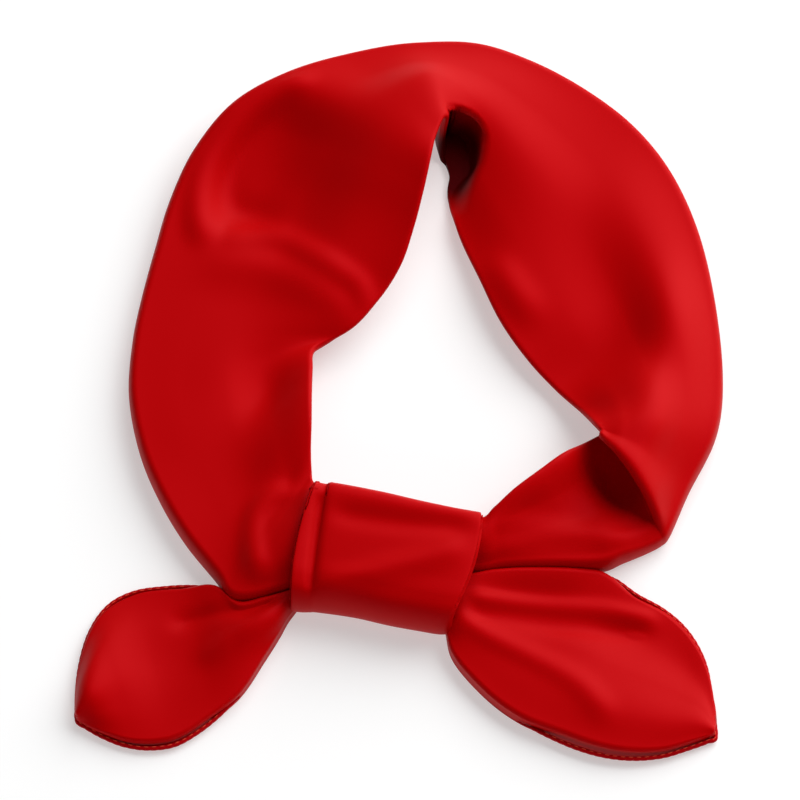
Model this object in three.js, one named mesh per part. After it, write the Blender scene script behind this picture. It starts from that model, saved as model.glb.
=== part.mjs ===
// A small square satin scarf, folded to a band, laid in a ring and tied.
// Millimetres, +Z up, the knot towards -Y. The origin lies on the surface that the
// scarf rests on, below the middle of its box.
import * as THREE from 'three';
import { LoftGeometry } from 'three/addons/geometries/LoftGeometry.js';

// Thickness of the folded cloth: the band and the wrap of the knot, and the two ends
const BAND_WALL = 2.0;
const WRAP_WALL = 2.2;
const END_WALL = 1.6;

// Rolled hem round the tip of each end, and the gap between hem and cloth
const HEM_RADIUS = 1.0;
const HEM_GAP = 0.6;

// Middle of the scarf's box, measured in the tables' own plan
const BOX_MIDDLE_X = -0.11;
const BOX_MIDDLE_Y = -0.32;

// How round the cross-section of a sheet is, from 0 (footed) to 1 (arched)
const ROUNDNESS = 0.45;
// How far the lines across a sheet crowd towards its edges
const EDGE_CROWDING = 0.3;
// Share of the width beside a free edge in which folds fade out
const EDGE_FADE = 0.25;
// Points that a fold's path is drawn with
const STROKE_POINTS = 24;
// A steep fold rises where its stroke passes these two strengths
const STEEP_FROM = 0.15;
const STEEP_TO = 0.65;

const SATIN = { color: 0xc2060f, roughness: 0.42, metalness: 0.0 };
const HEM_THREAD = { color: 0xb00a0c, roughness: 0.6, metalness: 0.0 };

// Sections of the band, clockwise seen from above, from inside the knot's left mouth
// to inside its right mouth. Columns: outer edge x, y, z; inner edge x, y, z;
// height of the crown; its place across the width; sideways bow of the section.
const BAND_SECTIONS = [
  [-12.0, -58.0, 9.0, -12.0, -41.0, 9.5, 12.5, 0.5, 0],
  [-29.5, -60.8, 8.0, -23.0, -36.0, 9.0, 13.2, 0.5, 0],
  [-42.0, -61.6, 6.2, -24.6, -27.0, 10.0, 18.0, 0.5, 0],
  [-51.0, -57.8, 4.0, -24.8, -20.0, 10.0, 19.5, 0.5, 0],
  [-60.0, -44.4, 1.0, -24.6, -11.0, 10.0, 20.0, 0.5, 0],
  [-67.0, -31.4, 1.0, -24.6, -3.0, 10.0, 20.0, 0.5, 0],
  [-72.5, -17.0, 1.0, -24.4, 5.0, 10.0, 20.0, 0.5, 0],
  [-75.5, 0.0, 1.0, -23.9, 10.4, 10.0, 20.0, 0.5, 0],
  [-75.0, 16.5, 1.0, -19.0, 13.6, 10.0, 20.0, 0.5, 0],
  [-72.5, 30.4, 1.0, -12.0, 18.5, 10.0, 20.5, 0.48, 0],
  [-69.0, 45.0, 1.0, -5.0, 27.5, 10.0, 21.0, 0.46, 0],
  [-65.0, 60.0, 1.0, 0.5, 37.5, 10.0, 22.0, 0.45, 0],
  [-58.5, 75.5, 1.0, 4.0, 48.5, 11.0, 22.5, 0.45, 0],
  [-48.0, 90.0, 1.0, 6.6, 59.0, 12.0, 23.0, 0.45, 0],
  [-33.0, 99.5, 1.0, 8.6, 69.0, 12.0, 24.0, 0.45, 0],
  [-15.5, 106.0, 1.0, 10.4, 76.6, 10.0, 24.0, 0.48, 0],
  [3.0, 109.6, 1.0, 12.2, 78.0, 5.0, 24.0, 0.5, 0],
  [21.0, 109.6, 1.0, 13.0, 70.0, 3.0, 23.0, 0.5, 0],
  [37.0, 104.0, 1.0, 13.6, 60.0, 3.5, 22.0, 0.48, 0],
  [52.0, 95.3, 1.0, 17.0, 48.8, 5.0, 21.5, 0.45, 0],
  [66.0, 84.0, 1.0, 22.0, 35.0, 6.0, 21.5, 0.43, 0],
  [76.5, 69.5, 1.0, 28.0, 21.5, 6.0, 22.0, 0.42, 0],
  [84.0, 51.0, 1.0, 35.6, 9.1, 7.0, 22.5, 0.42, 0],
  [88.5, 29.0, 1.0, 43.4, -0.6, 8.0, 23.0, 0.42, 0],
  [90.4, 6.0, 1.0, 50.4, -8.4, 10.0, 23.0, 0.44, 0],
  [88.5, -11.5, 1.0, 54.0, -13.2, 12.0, 22.0, 0.48, 0],
  [81.0, -29.0, 1.0, 55.6, -16.2, 14.5, 23.0, 0.5, 0],
  [75.0, -43.0, 1.0, 56.4, -17.0, 15.0, 22.0, 0.45, -2],
  [72.5, -45.5, 1.0, 68.0, -5.0, 4.0, 7.0, 0.5, 0],
  [70.0, -47.6, 1.0, 52.6, -14.6, 4.0, 6.0, 0.5, 0],
  [63.0, -51.5, 1.0, 45.6, -18.5, 5.0, 10.0, 0.45, 0],
  [55.0, -54.2, 1.2, 39.0, -24.6, 7.0, 14.0, 0.48, 0],
  [42.0, -56.0, 3.0, 32.0, -31.0, 8.5, 15.0, 0.5, 0],
  [29.0, -58.0, 6.5, 26.5, -37.0, 9.5, 15.0, 0.5, 0],
  [20.5, -60.0, 8.5, 23.0, -44.0, 9.0, 13.0, 0.5, 0],
  [4.0, -58.0, 9.0, 5.6, -44.5, 9.5, 12.5, 0.5, 0],
];

// Folds of the band in plan. A negative height is a dent; a steep one has a sharp rim.
const BAND_FOLDS = [
  { name: 'crest along the upper left rim', height: 3, start: 8, end: 8,
    path: [[-53, 46], [-55, 56], [-53, 66], [-45, 79], [-31, 89], [-11, 94], [8, 97]] },
  { name: 'broad dent at the upper left', height: -7, start: 17, end: 15,
    path: [[-36, 67], [-22, 69], [-6, 64]] },
  { name: 'ridge across to the notch', height: 5, start: 7, end: 5,
    path: [[-49, 45], [-34, 47], [-21, 42], [-13, 34], [-11, 28], [-14, 22], [-22, 19]] },
  { name: 'dent below the ridge', height: -4, start: 9, end: 8,
    path: [[-45, 33], [-31, 33], [-20, 28]] },
  { name: 'ridge down the left side', height: 3, start: 9, end: 9,
    path: [[-27, 7], [-38, 0], [-45, -8], [-52, -20], [-53, -33], [-49, -48]] },
  { name: 'dent inside that ridge', height: -4, start: 11, end: 10,
    path: [[-28, -6], [-32, -15]] },
  { name: 'dent above the knot', height: -5, start: 7, end: 6,
    path: [[-25, -22], [-45, -23]] },
  { name: 'gather running into the knot', height: 3, start: 5, end: 4,
    path: [[-28, -29], [-37, -33], [-40, -40], [-38, -50]] },
  { name: 'ridge along the right rim', height: 3.5, start: 9, end: 7,
    path: [[62, 76], [76, 56], [83, 34], [82, 15], [76, -3], [71, -19], [69, -34]] },
  { name: 'broad valley on the right', height: -6, start: 16, end: 14,
    path: [[64, 55], [57, 37], [49, 18], [45, 6]] },
  { name: 'swell beside the opening', height: 3, start: 11, end: 9,
    path: [[41, 53], [35, 41], [33, 27]] },
  { name: 'hollow at the top of the opening', height: -16, start: 7.5, end: 2, steep: true,
    path: [[18.5, 81], [15.5, 70], [13.5, 60]] },
  { name: 'lip over that hollow', height: 3, start: 4, end: 4,
    path: [[9, 69], [11, 81], [18, 87], [26, 82], [28, 69]] },
];

// Sections of the left end, root to tip. Columns: front edge x, y, z;
// back edge x, y, z; height of the crown; its place across the width.
const LEFT_END_SECTIONS = [
  [-22.0, -60.5, 4.0, -22.0, -53.0, 4.6, 6.2, 0.5],
  [-27.5, -60.4, 4.2, -27.5, -54.4, 4.6, 6.0, 0.5],
  [-33.4, -64.4, 3.0, -32.2, -57.4, 3.8, 6.0, 0.45],
  [-34.0, -74.0, 1.4, -41.0, -61.0, 1.8, 7.6, 0.42],
  [-38.6, -83.3, 0.8, -52.5, -60.2, 0.8, 9.2, 0.43],
  [-45.4, -92.2, 0.8, -66.5, -58.5, 1.1, 10.0, 0.45],
  [-53.2, -100.0, 0.8, -78.0, -61.2, 0.8, 10.0, 0.45],
  [-63.8, -106.3, 0.8, -86.0, -70.0, 0.8, 9.0, 0.5],
  [-74.5, -107.3, 0.8, -89.0, -82.5, 0.8, 7.0, 0.5],
  [-83.2, -104.0, 0.8, -90.2, -92.5, 0.8, 4.5, 0.5],
  [-88.2, -100.8, 0.8, -90.6, -97.0, 0.8, 2.2, 0.5],
];
const LEFT_END_TIP = [-90.6, -98.8];

const LEFT_END_FOLDS = [
  { name: 'crease under the band', height: -2.5, start: 2.6, end: 3,
    path: [[-33, -61], [-42, -63], [-52, -65], [-64, -69]] },
  { name: 'gather along the middle', height: 2, start: 4, end: 6,
    path: [[-31, -68], [-43, -74], [-54, -81]] },
  { name: 'swell near the tip', height: 2, start: 12, end: 11,
    path: [[-70, -78], [-78, -87]] },
  { name: 'hollow along the front', height: -2, start: 7, end: 7,
    path: [[-42, -81], [-56, -91]] },
];

// Sections of the right end, root to tip. Columns: back edge x, y, z;
// front edge x, y, z; height of the crown; its place across the width.
const RIGHT_END_SECTIONS = [
  [5.0, -58.5, 5.5, 5.0, -66.5, 4.0, 6.5, 0.5],
  [14.0, -60.2, 5.0, 12.5, -67.6, 4.2, 6.6, 0.5],
  [19.8, -61.8, 5.8, 17.2, -70.3, 3.4, 8.4, 0.5],
  [27.0, -60.6, 7.8, 15.6, -79.0, 1.2, 11.0, 0.5],
  [37.0, -58.8, 7.2, 19.8, -88.0, 0.8, 12.0, 0.5],
  [49.0, -57.5, 5.5, 28.0, -97.0, 0.8, 12.0, 0.5],
  [61.0, -57.6, 2.6, 37.5, -103.2, 0.8, 11.5, 0.5],
  [71.0, -63.0, 1.0, 49.0, -108.5, 0.8, 11.0, 0.5],
  [79.5, -73.0, 0.8, 60.0, -110.6, 0.8, 9.5, 0.5],
  [84.8, -85.0, 0.8, 71.0, -110.5, 0.8, 7.5, 0.5],
  [87.5, -96.0, 0.8, 80.5, -108.6, 0.8, 4.5, 0.5],
  [88.6, -102.0, 0.8, 86.0, -106.3, 0.8, 2.2, 0.5],
];
const RIGHT_END_TIP = [88.9, -105.0];

const RIGHT_END_FOLDS = [
  { name: 'valley below the back edge', height: -3.5, start: 3, end: 4,
    path: [[18, -66], [31, -69], [41, -71], [57, -68]] },
  { name: 'main ridge', height: 3, start: 4, end: 6,
    path: [[18, -69], [27, -73], [39, -79], [52, -87], [59, -97]] },
  { name: 'valley in front of the ridge', height: -3.5, start: 4, end: 6,
    path: [[18, -75], [28, -81], [45, -93]] },
  { name: 'ridge along the back edge', height: 2, start: 3.5, end: 3.5,
    path: [[22, -62], [39, -62], [56, -61]] },
  { name: 'swell near the tip', height: 2, start: 10, end: 10,
    path: [[70, -84], [74, -96]] },
];

// Rings of the knot's wrap, left mouth to right mouth. Columns: back x, y;
// front x, y; height of the middle; top; how far the cloth swells out.
const WRAP_RINGS = [
  [-22.7, -30.5, -30.8, -67.0, 7.8, 18.4, -0.3],
  [-21.6, -30.5, -29.8, -67.2, 7.8, 18.9, 0.0],
  [-19.0, -30.6, -27.2, -67.7, 7.8, 18.8, 0.3],
  [-16.6, -31.1, -24.6, -67.9, 7.8, 18.6, -0.5],
  [-14.6, -31.5, -22.4, -67.7, 7.8, 19.2, 0.1],
  [-4.2, -33.2, -12.6, -69.2, 7.8, 20.0, 0.4],
  [5.6, -35.4, -3.4, -71.6, 7.8, 20.0, 0.4],
  [14.6, -37.3, 5.0, -73.5, 7.8, 19.5, 0.2],
  [20.2, -38.5, 10.6, -74.7, 7.8, 19.0, 0.0],
  [23.5, -39.4, 14.0, -74.4, 7.8, 18.2, -0.2],
];
// The wrap's section: squareness of its curve, and how far its underside is cut flat
const WRAP_SQUARENESS = 0.8;
const WRAP_SUNK = 1.6;

// Number of steps along and across each sheet, and round the wrap
const BAND_STEPS = { along: 100, across: 13 };
const END_STEPS = { along: 24, across: 10 };
const WRAP_STEPS = { along: 18, around: 26 };
const HEM_STEPS = { along: 32, around: 4 };
// Shares of an end's length at which its hem begins, leaves the edges for the tip,
// and at which the cloth inside it stops
const HEM_START = 0.58;
const HEM_TURN = 0.97;
const CLOTH_END = 0.885;
// Shares of the length before the hem's start at which the cloth begins to draw in
// and is fully drawn in, and the number of points that the hem follows on each edge
const DRAW_BEGINS = 0.12;
const DRAW_ENDS = 0.04;
const HEM_POINTS = 8;
// Step used to find the direction of an edge
const NEARBY = 0.01;

// Catmull-Rom curve through the rows of a table, at a place from 0 to 1
function along(rows, place) {
  const last = rows.length - 1;
  const x = Math.min(Math.max(place, 0), 1) * last;
  const i = Math.min(Math.floor(x), last - 1);
  const f = x - i;
  const row = (k) => rows[Math.min(Math.max(i + k, 0), last)];
  const [a, b, c, d] = [row(-1), row(0), row(1), row(2)];
  return b.map((value, n) => 0.5 * (2 * value + (c[n] - a[n]) * f
    + (2 * a[n] - 5 * value + 4 * c[n] - d[n]) * f * f
    + (3 * value - a[n] - 3 * c[n] + d[n]) * f * f * f));
}

// Height of an arch from its foot (0) to its crown (1)
function arch(share) {
  const x = THREE.MathUtils.clamp(share, 0, 1);
  const footed = THREE.MathUtils.smoothstep(x, 0, 1);
  return (1 - ROUNDNESS) * footed + ROUNDNESS * Math.sin(Math.PI / 2 * x);
}

// Each fold becomes a row of soft spots along its path
function spotsOf(fold) {
  const points = [];
  for (let k = 0; k < STROKE_POINTS; k += 1) {
    points.push(new THREE.Vector2(...along(fold.path, k / (STROKE_POINTS - 1))));
  }
  return points.map((point, k) => {
    const before = points[Math.max(k - 1, 0)];
    const after = points[Math.min(k + 1, points.length - 1)];
    const spacing = before.distanceTo(after) / (before === point || after === point ? 1 : 2);
    const width = THREE.MathUtils.lerp(fold.start, fold.end, k / (STROKE_POINTS - 1));
    return { point, width, strength: spacing / (width * Math.sqrt(Math.PI)) };
  });
}

// What the folds add to the height at a place in plan
function foldHeight(folds, x, y) {
  let height = 0;
  for (const fold of folds) {
    let stroke = 0;
    for (const spot of fold.spots) {
      const away = (x - spot.point.x) ** 2 + (y - spot.point.y) ** 2;
      stroke += spot.strength * Math.exp(-away / spot.width ** 2);
    }
    if (fold.steep) {
      stroke = THREE.MathUtils.smoothstep(stroke, STEEP_FROM, STEEP_TO);
    }
    height += fold.height * stroke;
  }
  return height;
}

// How far the cloth stops inside one edge of its outline, measured along the section.
// Edge 0 is the first edge of the table's columns and edge 3 the second.
function drawnIn(sheet, s, edge) {
  const room = sheet.room(s);
  const row = along(sheet.sections, s);
  const [before, after] = [along(sheet.sections, s - NEARBY), along(sheet.sections, s + NEARBY)];
  const over = new THREE.Vector2(row[3] - row[0], row[4] - row[1]).normalize();
  const ahead = new THREE.Vector2(after[edge] - before[edge], after[edge + 1] - before[edge + 1]);
  return room / Math.abs(ahead.normalize().cross(over));
}

// Middle surface of a sheet at s along it and t across it
function sheetPoint(sheet, s, t) {
  const [ax, ay, az, bx, by, bz, crown, peak, bow = 0] = along(sheet.sections, s);
  const width = Math.hypot(bx - ax, by - ay);
  const [first, second] = [drawnIn(sheet, s, 0), drawnIn(sheet, s, 3)];
  const eased = (1 - Math.cos(Math.PI * t)) / 2;
  const spread = THREE.MathUtils.lerp(t, eased, EDGE_CROWDING);
  const share = (first + (width - first - second) * spread) / width;
  const side = bow * 4 * t * (1 - t) / width;
  const x = ax + (bx - ax) * share + (by - ay) * side;
  const y = ay + (by - ay) * share - (bx - ax) * side;
  const foot = t < peak ? az : bz;
  const rise = arch(t < peak ? t / peak : (1 - t) / (1 - peak));
  const z = foot + (crown - foot) * rise + foldHeight(sheet.folds, x, y) * sheet.fades(t);
  return new THREE.Vector3(x, y, Math.max(z, sheet.wall / 2));
}

// Fades the folds out towards the edges: 0 on the edge, 1 a little inside it
function fadeFrom(distance) {
  return 1 - (1 - Math.min(distance / EDGE_FADE, 1)) ** 2;
}

// Closed sheet about its middle surface: even in thickness, with upright edges, and
// pressed flat where it rests
function sheetGeometry(sheet, steps) {
  const middle = [];
  for (let i = 0; i <= steps.along; i += 1) {
    const row = [];
    for (let j = 0; j <= steps.across; j += 1) {
      row.push(sheetPoint(sheet, sheet.reach * i / steps.along, j / steps.across));
    }
    middle.push(row);
  }
  const half = sheet.wall / 2;
  const sections = middle.map((row, i) => {
    const before = middle[Math.max(i - 1, 0)];
    const after = middle[Math.min(i + 1, steps.along)];
    const upper = [];
    const lower = [];
    row.forEach((point, j) => {
      const ahead = after[j].clone().sub(before[j]);
      const over = row[Math.min(j + 1, steps.across)].clone().sub(row[Math.max(j - 1, 0)]);
      const onEdge = j === 0 || j === steps.across;
      const facing = onEdge ? new THREE.Vector3(0, 0, 1) : over.cross(ahead).normalize();
      const top = point.clone().addScaledVector(facing, half);
      const bottom = point.clone().addScaledVector(facing, -half);
      bottom.z = Math.max(bottom.z, 0);
      upper.push(top);
      lower.unshift(bottom);
    });
    return [...upper, ...lower];
  });
  return new LoftGeometry(sections, { closed: true, capStart: true, capEnd: true });
}

// Hem: a roll just inside the outline of an end, from HEM_START round the tip and back
function hemGeometry(sheet, tip, steps) {
  const outline = [];
  for (let k = 0; k < HEM_POINTS; k += 1) {
    const row = along(sheet.sections, THREE.MathUtils.lerp(HEM_START, HEM_TURN, k / (HEM_POINTS - 1)));
    outline.splice(k, 0, new THREE.Vector2(row[0], row[1]));
    outline.splice(k + 1, 0, new THREE.Vector2(row[3], row[4]));
  }
  outline.splice(HEM_POINTS, 0, new THREE.Vector2(...tip));
  const middle = outline[0].clone().lerp(outline[outline.length - 1], 0.5).lerp(outline[HEM_POINTS], 0.5);
  const points = outline.map((point, k) => {
    const before = outline[Math.max(k - 1, 0)];
    const after = outline[Math.min(k + 1, outline.length - 1)];
    const inwards = after.clone().sub(before).rotateAround(new THREE.Vector2(), Math.PI / 2);
    if (inwards.dot(middle.clone().sub(point)) < 0) {
      inwards.negate();
    }
    const centre = point.clone().add(inwards.setLength(HEM_RADIUS));
    return new THREE.Vector3(centre.x, centre.y, HEM_RADIUS);
  });
  const roll = new THREE.Shape();
  roll.absarc(0, 0, HEM_RADIUS, 0, 2 * Math.PI);
  return new THREE.ExtrudeGeometry(roll, {
    curveSegments: steps.around,
    steps: steps.along,
    bevelEnabled: false,
    extrudePath: new THREE.CatmullRomCurve3(points),
  });
}

// One ring of the wrap, at s along it, shrunk by an inset
function wrapRing(s, inset, steps) {
  const [bx, by, fx, fy, middle, top, swell] = along(WRAP_RINGS, s);
  const back = new THREE.Vector2(bx, by);
  const front = new THREE.Vector2(fx, fy);
  const centre = back.clone().add(front).multiplyScalar(0.5);
  const half = back.clone().sub(front).multiplyScalar(0.5);
  half.setLength(half.length() + swell - inset);
  const rise = top + swell - inset - middle;
  const fall = middle + WRAP_SUNK - inset;
  const ring = [];
  for (let k = 0; k < steps.around; k += 1) {
    const angle = k / steps.around * 2 * Math.PI;
    const square = (value) => Math.sign(value) * Math.abs(value) ** WRAP_SQUARENESS;
    const c = square(Math.cos(angle));
    const d = square(Math.sin(angle));
    const z = middle + (d > 0 ? rise : fall) * d;
    ring.push(new THREE.Vector3(centre.x + half.x * c, centre.y + half.y * c, Math.max(z, inset)));
  }
  return ring;
}

// The wrap: a short sleeve of cloth, open at both mouths
function wrapGeometry(steps) {
  const sections = [];
  for (let i = 0; i <= steps.along; i += 1) {
    sections.push(wrapRing(i / steps.along, 0, steps));
  }
  for (let i = steps.along; i >= 0; i -= 1) {
    sections.push(wrapRing(i / steps.along, WRAP_WALL, steps));
  }
  sections.push(sections[0]);
  return new LoftGeometry(sections, { closed: true });
}

function piece(name, geometry, finish) {
  const mesh = new THREE.Mesh(geometry, new THREE.MeshStandardMaterial(finish));
  mesh.name = name;
  return mesh;
}

// How far an end's cloth stops inside its outline, to leave room for the hem
function hemRoom(s) {
  const room = 2 * HEM_RADIUS + HEM_GAP;
  return room * THREE.MathUtils.smoothstep(s, HEM_START - DRAW_BEGINS, HEM_START - DRAW_ENDS);
}

const withSpots = (folds) => folds.map((fold) => ({ ...fold, spots: spotsOf(fold) }));

const band = {
  sections: BAND_SECTIONS,
  folds: withSpots(BAND_FOLDS),
  wall: BAND_WALL,
  reach: 1,
  room: () => 0,
  fades: (t) => fadeFrom(t),
};
const leftEnd = {
  sections: LEFT_END_SECTIONS,
  folds: withSpots(LEFT_END_FOLDS),
  wall: END_WALL,
  reach: CLOTH_END,
  room: hemRoom,
  fades: (t) => fadeFrom(Math.min(t, 1 - t)),
};
const rightEnd = { ...leftEnd, sections: RIGHT_END_SECTIONS, folds: withSpots(RIGHT_END_FOLDS) };

const scarf = new THREE.Group();
scarf.add(piece('neck_band', sheetGeometry(band, BAND_STEPS), SATIN));
scarf.add(piece('knot_wrap', wrapGeometry(WRAP_STEPS), SATIN));
scarf.add(piece('left_end', sheetGeometry(leftEnd, END_STEPS), SATIN));
scarf.add(piece('left_end_hem', hemGeometry(leftEnd, LEFT_END_TIP, HEM_STEPS), HEM_THREAD));
scarf.add(piece('right_end', sheetGeometry(rightEnd, END_STEPS), SATIN));
scarf.add(piece('right_end_hem', hemGeometry(rightEnd, RIGHT_END_TIP, HEM_STEPS), HEM_THREAD));
scarf.position.set(-BOX_MIDDLE_X, -BOX_MIDDLE_Y, 0);

export default scarf;
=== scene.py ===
"""A small square satin scarf, folded to a band, laid in a ring and tied in a knot."""
import math

import bmesh
import bpy
import numpy as np
from mathutils import Matrix, Vector


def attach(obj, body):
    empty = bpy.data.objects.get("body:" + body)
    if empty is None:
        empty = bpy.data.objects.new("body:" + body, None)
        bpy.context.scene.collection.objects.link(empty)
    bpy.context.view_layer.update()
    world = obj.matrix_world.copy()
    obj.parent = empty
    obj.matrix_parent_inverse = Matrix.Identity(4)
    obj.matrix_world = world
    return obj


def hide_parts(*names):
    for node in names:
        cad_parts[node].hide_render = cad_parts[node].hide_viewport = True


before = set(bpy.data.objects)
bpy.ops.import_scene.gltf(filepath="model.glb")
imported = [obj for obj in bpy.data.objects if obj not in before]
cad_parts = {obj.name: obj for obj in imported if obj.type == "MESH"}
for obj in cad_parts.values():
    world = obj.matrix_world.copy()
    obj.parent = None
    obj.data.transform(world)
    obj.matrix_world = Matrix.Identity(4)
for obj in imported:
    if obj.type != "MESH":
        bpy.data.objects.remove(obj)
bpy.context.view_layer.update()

bl_info = {
    "name": "Knotted Satin Scarf",
    "version": (1, 0, 0),
    "blender": (4, 5, 0),
    "location": "3D View > Sidebar > Scarf",
    "description": "Makes a knotted satin neck scarf round its packed frame",
    "category": "Add Mesh",
}

# The tables below are in millimetres, with the knot towards -Y
MM = 0.001
# Middle of the scarf's box in the tables' own plan
BOX_MIDDLE = (-0.11, -0.32)

# Share of the width beside a free edge in which folds fade out
EDGE_FADE = 0.15
# Points that a fold's path is drawn with
STROKE_POINTS = 24

# The outlines were drawn as seen from the front at this elevation, so a point's plan y
# is its seen y less its height times this slope
SIGHT = 1 / math.tan(math.radians(65))

# Sections of the band, clockwise seen from above, from inside the knot's left mouth
# to inside its right mouth. Columns: outer edge x, seen y; inner edge x, seen y;
# heights at the outer roll, a quarter, half, three quarters and the inner edge; bow.
BAND_SECTIONS = [
    (-12.0, -52.8, -12.0, -36.6, 8.5, 11.5, 12.8, 12.8, 10.6, 0),
    (-28.0, -58.4, -22.6, -29.0, 8.5, 11.6, 12.6, 12.0, 10.7, 0),
    (-34.0, -61.0, -24.2, -25.2, 8.6, 11.8, 13.2, 12.8, 11.8, 0),
    (-46.5, -63.0, -24.6, -21.8, 8.0, 10.2, 11.4, 11.2, 11.6, 0),
    (-51.4, -56.2, -24.8, -15.3, 7.8, 8.9, 9.6, 10.2, 12.8, 0),
    (-60.3, -44.2, -24.6, -6.3, 8.0, 8.2, 9.0, 12.0, 15.0, 0),
    (-67.4, -31.2, -24.6, 1.7, 8.0, 8.2, 8.8, 10.8, 14.5, 0),
    (-72.9, -16.7, -24.4, 9.7, 8.0, 8.6, 8.6, 7.3, 12.0, 0),
    (-75.9, 0.5, -23.9, 15.1, 7.8, 8.4, 8.8, 7.3, 9.0, 0),
    (-75.0, 17.0, -19.0, 18.3, 7.8, 8.4, 8.8, 8.3, 7.5, 0),
    (-72.5, 30.9, -12.0, 23.2, 7.8, 8.4, 8.8, 9.8, 8.6, 0),
    (-69.0, 45.5, -5.0, 32.2, 8.0, 8.2, 9.0, 11.3, 9.5, 0),
    (-65.0, 60.5, 0.5, 42.2, 8.6, 6.2, 8.0, 12.9, 12.5, 0),
    (-58.5, 76.0, 4.0, 53.6, 9.8, 5.6, 8.8, 15.0, 16.0, 0),
    (-47.8, 90.2, 6.6, 64.6, 11.8, 8.0, 12.6, 18.2, 19.8, 0),
    (-32.9, 99.6, 8.6, 74.6, 12.4, 14.2, 17.6, 20.8, 22.6, 0),
    (-15.5, 106.1, 10.2, 82.0, 11.0, 13.6, 18.6, 21.0, 22.0, 0),
    (3.2, 110.3, 12.9, 87.4, 10.6, 13.4, 18.2, 20.0, 20.2, 0),
    (21.3, 110.5, 13.9, 76.2, 9.6, 12.0, 16.0, 16.6, 14.0, 0),
    (37.3, 104.9, 13.4, 64.6, 7.8, 10.4, 13.2, 10.6, 5.4, 0),
    (52.3, 96.1, 16.4, 51.3, 6.8, 8.8, 11.6, 9.4, 4.8, 0),
    (66.0, 84.5, 22.0, 37.8, 6.4, 7.8, 9.8, 9.0, 6.4, 0),
    (76.5, 70.0, 28.0, 24.3, 6.6, 9.0, 7.8, 8.0, 6.6, 0),
    (84.0, 51.5, 35.6, 12.4, 6.8, 10.2, 6.6, 6.8, 5.8, 0),
    (88.5, 29.5, 43.4, 3.1, 6.4, 13.0, 8.6, 6.2, 5.0, 0),
    (90.4, 6.5, 50.4, -3.7, 6.6, 12.2, 15.6, 13.2, 9.0, 0),
    (88.5, -11.0, 54.0, -7.6, 7.6, 12.2, 18.6, 18.5, 16.0, 0),
    (81.0, -28.5, 55.6, -9.4, 6.8, 12.4, 18.2, 19.5, 18.0, 0),
    (75.5, -42.0, 56.4, -10.0, 6.4, 14.5, 18.2, 19.0, 18.0, -0.5),
    (72.5, -45.2, 66.5, -4.5, 5.5, 7.5, 5.0, 4.5, 4.0, -2.0),
    (69.0, -47.3, 52.6, -12.7, 5.8, 6.6, 3.0, 2.6, 7.0, 0),
    (62.8, -50.1, 45.6, -16.2, 7.4, 8.0, 6.8, 8.2, 13.5, 0),
    (56.4, -52.7, 39.0, -21.3, 7.8, 8.0, 8.0, 10.4, 15.2, 0),
    (42.0, -53.4, 32.0, -27.0, 8.4, 8.8, 9.0, 11.2, 15.4, 0),
    (29.0, -54.0, 26.5, -32.6, 8.2, 10.0, 11.4, 13.2, 14.2, 0),
    (20.5, -55.0, 22.0, -36.6, 8.2, 11.2, 13.0, 13.4, 12.7, 0),
    (4.0, -53.4, 5.6, -39.6, 8.5, 11.5, 12.5, 12.5, 10.5, 0),
]

# Folds in plan. Columns: height, negative for a dent; width where the fold starts and
# where it ends; path.
BAND_FOLDS = [
    # crest and trough along the upper left
    (2.2, 4.2, 4.6, [(-28, 93.5), (-37, 88), (-46, 81), (-53, 72), (-56.5, 63),
                     (-56.5, 52), (-54, 46)]),
    (-1.4, 5.0, 5.0, [(-31, 88), (-41, 81), (-47, 72), (-49, 63), (-47, 56), (-37, 54)]),
    # ridge across to the notch, with a shoulder below it
    (1.3, 4.2, 3.2, [(-48, 46), (-34, 46), (-25, 40), (-17, 34), (-11, 30), (-10, 25)]),
    (1.2, 7.0, 5.0, [(-52, 39), (-40, 38), (-30, 33), (-20, 27), (-14, 22)]),
    # gather running into the knot
    (1.5, 3.2, 3.2, [(-31, -33), (-36, -35), (-40, -40), (-41, -50), (-39, -58)]),
    # swell beside the opening
    (1.6, 5.0, 5.0, [(27, 38), (31, 31), (37, 23)]),
    # ridge along the strip below the pocket
    (1.3, 5.0, 2.4, [(34, -44), (44, -45), (53, -46), (60, -47.5), (68, -45.5), (72, -40)]),
]
# Hollow at the top of the opening: the level it sinks to, the section of the band it
# starts at, the share of a section in which it starts, how far its wall leans in under
# the rim, how far its bottom lies under the band's left part, and the plan y from which
# and over which this lean and shift begin. Columns of its path: x, y, radius of its rim,
# width of its wall.
HOLLOW_LEVEL = 1.4
HOLLOW_FROM = 17.0
HOLLOW_BLEND = 0.75
HOLLOW_LEAN = (1.6, 5.0)
HOLLOW_SHIFT = (-3.4, 2.2)
HOLLOW_UPPER_FROM = 67.5
HOLLOW_UPPER_FADE = 12.0
HOLLOW_PATH = [
    (17.4, 75.6, 7.2, 2.6),
    (16.8, 71.5, 7.4, 3.4),
    (15.2, 66.5, 7.2, 5.6),
    (13.6, 59.0, 7.4, 9.0),
]
# Shade painted into the band's colour in its hollow, mixed towards black: its strength,
# the share of its reach in which it is full, and the middle and reach of the space it fills
SHADE = 0.9
SHADE_FROM = 0.5
SHADE_MIDDLE = (16.0, 73.0, 3.0)
SHADE_REACH = (11.5, 17.0, 14.0)

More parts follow.
